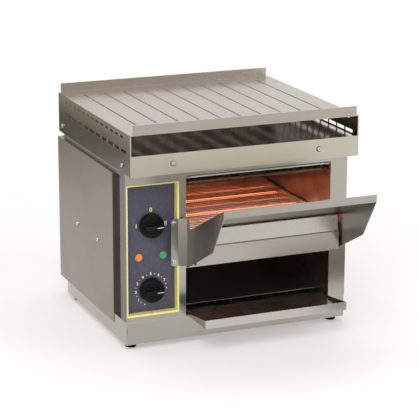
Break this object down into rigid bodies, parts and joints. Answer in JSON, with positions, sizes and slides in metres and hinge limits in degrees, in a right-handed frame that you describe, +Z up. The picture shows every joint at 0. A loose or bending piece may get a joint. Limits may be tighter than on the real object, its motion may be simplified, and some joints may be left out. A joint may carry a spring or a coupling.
{
  "type": "conveyor toaster",
  "caption": "Countertop conveyor toaster with a sloping feed tray, a rod belt between quartz tubes, a return chute to a sliding tray, side controls and a slotted warming rack on top.",
  "frame": {"origin": "on the worktop, under the middle of the whole outline", "axes": "+Z up, -Y is the front with the feed tray and collection tray, -X the control side"},
  "size_m": [0.4552, 0.5626, 0.43],
  "materials": {
    "brushed_stainless": "stainless steel sheet with a fine brushed grain",
    "bright_stainless": "bright-rolled stainless steel sheet",
    "plated_steel": "zinc-plated steel",
    "galvanised": "galvanised steel sheet",
    "reflector_sheet": "polished aluminised sheet",
    "blue_panel": "slate-blue satin paint",
    "gold_bezel": "gold-yellow satin paint",
    "black_knob": "black moulded plastic",
    "black_body": "black moulded plastic",
    "orange_lens": "clear orange plastic",
    "green_lens": "clear green plastic",
    "lamp_ring": "pale plastic",
    "quartz": "clear quartz over a glowing filament",
    "ceramic": "off-white ceramic",
    "foot_rubber": "black rubber",
    "belt_steel": "stainless steel wire",
    "chain_steel": "oiled dark steel",
    "bronze": "sintered bronze",
    "motor_casting": "die-cast aluminium"
  },
  "bodies": {
    "housing": {"band_screws": "plated_steel", "base_pan": "brushed_stainless", "control_bezel": "gold_bezel", "control_panel": "blue_panel", "cord_gland": "black_body", "drive_chain": "chain_steel", "ear_spacers": "plated_steel", "feed_tray": "brushed_stainless", "foot_screws": "plated_steel", "front_fascia": "brushed_stainless", "front_shield": "brushed_stainless", "gear_motor": "motor_casting", "guard_rod": "bright_stainless", "heat_lamp_lens": "orange_lens", "lamp_bodies": "lamp_ring", "left_belt_rail": "galvanised", "left_chamber_wall": "galvanised", "left_side_panel": "brushed_stainless", "lower_deck": "bright_stainless", "lower_reflector": "reflector_sheet", "lower_tubes": "quartz", "motor_bracket": "galvanised", "panel_stays": "galvanised", "rack_deck": "bright_stainless", "rack_frame": "brushed_stainless", "rack_screws": "plated_steel", "ready_lamp_lens": "green_lens", "rear_cover": "brushed_stainless", "rear_screws": "plated_steel", "return_chute": "bright_stainless", "right_belt_rail": "galvanised", "right_chamber_wall": "galvanised", "right_side_panel": "brushed_stainless", "roof_pan": "galvanised", "rubber_feet": "foot_rubber", "selector_switch": "black_body", "shaft_bushes": "bronze", "side_screws": "plated_steel", "speed_regulator": "black_body", "terminal_block": "black_body", "tray_runners": "galvanised", "tray_screws": "plated_steel", "tube_holders": "ceramic", "upper_reflector": "reflector_sheet", "upper_tubes": "quartz", "wire_belt": "belt_steel"},
    "drive_roller": {"rear_shaft": "plated_steel", "rear_belt_sprockets": "chain_steel", "drive_sprocket": "chain_steel"},
    "front_roller": {"front_shaft": "plated_steel", "front_belt_sprockets": "chain_steel"},
    "motor_output": {"motor_shaft": "plated_steel", "motor_sprocket": "chain_steel"},
    "selector": {"selector_knob": "black_knob", "selector_spindle": "plated_steel"},
    "speed_control": {"speed_knob": "black_knob", "speed_spindle": "plated_steel"},
    "toast_tray": {"collection_tray": "bright_stainless"}
  },
  "joints": [
    {"name": "drive_roller_spin", "type": "hinge", "parent": "housing", "child": "drive_roller", "pos_m": [0.04125, 0.1877, 0.199], "axis": [-1, 0, 0], "continuous": true, "deforming": ["wire_belt", "drive_chain"]},
    {"name": "front_roller_spin", "type": "hinge", "parent": "housing", "child": "front_roller", "pos_m": [0.04125, -0.1223, 0.199], "axis": [-1, 0, 0], "continuous": true},
    {"name": "motor_spin", "type": "hinge", "parent": "housing", "child": "motor_output", "pos_m": [0.04125, 0.1877, 0.0974], "axis": [-1, 0, 0], "continuous": true},
    {"name": "selector_turn", "type": "hinge", "parent": "housing", "child": "selector", "pos_m": [-0.168, -0.0883, 0.231], "axis": [0, -1, 0], "range_deg": [0, 180]},
    {"name": "speed_turn", "type": "hinge", "parent": "housing", "child": "speed_control", "pos_m": [-0.168, -0.0883, 0.108], "axis": [0, -1, 0], "range_deg": [-45, 225]},
    {"name": "tray_slide", "type": "slide", "parent": "housing", "child": "toast_tray", "axis": [0, -1, 0], "range_m": [0, 0.15]}
  ],
  "couplings": [
    {"joint": "front_roller_spin", "follows": "drive_roller_spin", "ratio": 1},
    {"joint": "motor_spin", "follows": "drive_roller_spin", "ratio": 1}
  ]
}
